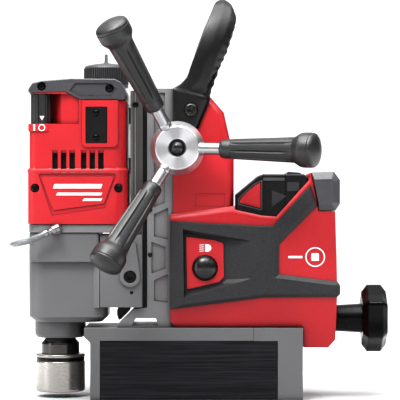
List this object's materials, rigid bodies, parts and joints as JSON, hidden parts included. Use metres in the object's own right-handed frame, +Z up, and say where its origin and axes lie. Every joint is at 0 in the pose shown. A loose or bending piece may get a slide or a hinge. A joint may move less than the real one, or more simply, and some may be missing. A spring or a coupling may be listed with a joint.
{
  "type": "magnetic drill press",
  "caption": "Magnetic-base drilling machine: a geared battery motor on a rack-fed slide, a spoked feed hub, a carry handle, a switchable magnet base and a coolant bottle.",
  "frame": {"origin": "centre of the magnet's lower face, which clamps to the workpiece", "axes": "+Z up, away from the workpiece; +X from the motor towards the rear knob; -Y is the side of the feed hub"},
  "size_m": [0.384, 0.2308, 0.4043],
  "materials": {
    "red_shell": "satin, moulded, glass-filled",
    "dark_skin": "soft, lightly textured",
    "grey_plastic": "satin, moulded",
    "black_plastic": "satin, moulded",
    "cast_grey": "cast, painted grey",
    "base_steel": "machined steel, painted grey",
    "magnet_black": "black coated steel",
    "bright_metal": "turned and polished",
    "fitting_metal": "nickel plated",
    "steel": "machined",
    "dark_steel": "black oxide",
    "brass": "machined",
    "copper": "wound copper on laminations",
    "clear_hose": "clear soft tube",
    "white_plastic": "translucent, blow-moulded",
    "green_board": "coated circuit board"
  },
  "bodies": {
    "stand": {"base_plate": "base_steel", "base_rear_block": "base_steel", "magnet_pole_near": "magnet_black", "magnet_pole_far": "magnet_black", "pole_spacer": "brass", "column": "cast_grey", "gib_strip_near": "black_plastic", "gib_strip_far": "black_plastic", "work_light": "black_plastic", "housing_near": "red_shell", "housing_far": "red_shell", "grip_skin_near": "dark_skin", "grip_skin_far": "dark_skin", "light_switch_panel": "red_shell", "rear_bumper": "grey_plastic", "control_board": "green_board", "battery_terminal_block": "black_plastic", "carry_handle": "dark_skin", "handle_bolt_near": "dark_steel", "handle_bolt_far": "dark_steel"},
    "magnet_rotor": {"magnet_rotor": "steel"},
    "knob": {"magnet_knob": "black_plastic", "knob_shaft": "steel"},
    "light_button": {"light_button": "black_plastic"},
    "battery": {"battery_case": "black_plastic"},
    "latch_near": {"battery_latch_near": "red_shell"},
    "latch_far": {"battery_latch_far": "red_shell"},
    "carriage": {"slide_plate": "steel", "feed_rack": "steel", "gear_case": "cast_grey", "motor_flange": "cast_grey", "spindle_nose": "cast_grey", "spindle_bearing": "steel", "slide_bracket": "cast_grey", "bracket_bolt": "dark_steel", "motor_case_near": "red_shell", "motor_case_far": "red_shell", "motor_cover_plate": "black_plastic", "motor_top_cap": "grey_plastic", "motor_stator": "copper", "coolant_bottle": "white_plastic", "bottle_cap": "black_plastic", "bottle_cradle": "black_plastic", "hose_fitting": "fitting_metal", "coolant_hose": "clear_hose"},
    "power_switch": {"power_switch": "black_plastic"},
    "motor_rotor": {"motor_rotor": "steel"},
    "layshaft": {"layshaft_gears": "steel"},
    "spindle": {"spindle": "steel", "chuck_body": "dark_steel"},
    "sleeve": {"chuck_sleeve": "bright_metal"},
    "feed_hub": {"pinion_shaft": "steel", "feed_hub": "bright_metal", "hub_cap": "black_plastic", "feed_rod_1": "bright_metal", "feed_rod_2": "bright_metal", "feed_rod_3": "bright_metal", "feed_grip_1": "black_plastic", "feed_grip_2": "black_plastic", "feed_grip_3": "black_plastic"}
  },
  "joints": [
    {"name": "feed", "type": "slide", "parent": "stand", "child": "carriage", "axis": [0, 0, 1], "range_m": [0, 0.146]},
    {"name": "feed_turn", "type": "hinge", "parent": "stand", "child": "feed_hub", "pos_m": [-0.019, 0, 0.2516], "axis": [0, 1, 0], "range_deg": [0, 698]},
    {"name": "magnet_switch", "type": "hinge", "parent": "stand", "child": "magnet_rotor", "pos_m": [0, 0, 0.0343], "axis": [1, 0, 0], "range_deg": [-90, 0]},
    {"name": "knob_turn", "type": "hinge", "parent": "stand", "child": "knob", "pos_m": [0.1, 0, 0.0793], "axis": [1, 0, 0], "range_deg": [0, 180]},
    {"name": "light_press", "type": "slide", "parent": "stand", "child": "light_button", "axis": [0, 1, 0], "range_m": [0, 0.002], "stiffness_N_per_m": 300, "springref_m": -0.001},
    {"name": "battery_slide", "type": "slide", "parent": "stand", "child": "battery", "axis": [0, 0, 1], "range_m": [0, 0.09]},
    {"name": "latch_near_press", "type": "slide", "parent": "battery", "child": "latch_near", "axis": [0, 1, 0], "range_m": [0, 0.0025], "stiffness_N_per_m": 400, "springref_m": -0.001},
    {"name": "latch_far_press", "type": "slide", "parent": "battery", "child": "latch_far", "axis": [0, -1, 0], "range_m": [0, 0.0025], "stiffness_N_per_m": 400, "springref_m": -0.001},
    {"name": "switch_turn", "type": "hinge", "parent": "carriage", "child": "power_switch", "pos_m": [-0.156, -0.035, 0.29], "axis": [0, 0, -1], "range_deg": [0, 50]},
    {"name": "spindle_spin", "type": "hinge", "parent": "carriage", "child": "spindle", "pos_m": [-0.1391, 0, 0.05], "axis": [0, 0, 1], "continuous": true},
    {"name": "layshaft_spin", "type": "hinge", "parent": "carriage", "child": "layshaft", "pos_m": [-0.1191, 0.021, 0.13], "axis": [0, 0, 1], "continuous": true},
    {"name": "motor_spin", "type": "hinge", "parent": "carriage", "child": "motor_rotor", "pos_m": [-0.119, 0, 0.2], "axis": [0, 0, 1], "continuous": true},
    {"name": "sleeve_lift", "type": "slide", "parent": "spindle", "child": "sleeve", "axis": [0, 0, 1], "range_m": [0, 0.007], "stiffness_N_per_m": 600, "springref_m": -0.01}
  ],
  "couplings": [
    {"joint": "feed_turn", "follows": "feed", "rad_per_m": 83.333},
    {"joint": "knob_turn", "follows": "magnet_switch", "ratio": -2},
    {"joint": "layshaft_spin", "follows": "spindle_spin", "ratio": -3.1429},
    {"joint": "motor_spin", "follows": "spindle_spin", "ratio": 10.057}
  ]
}
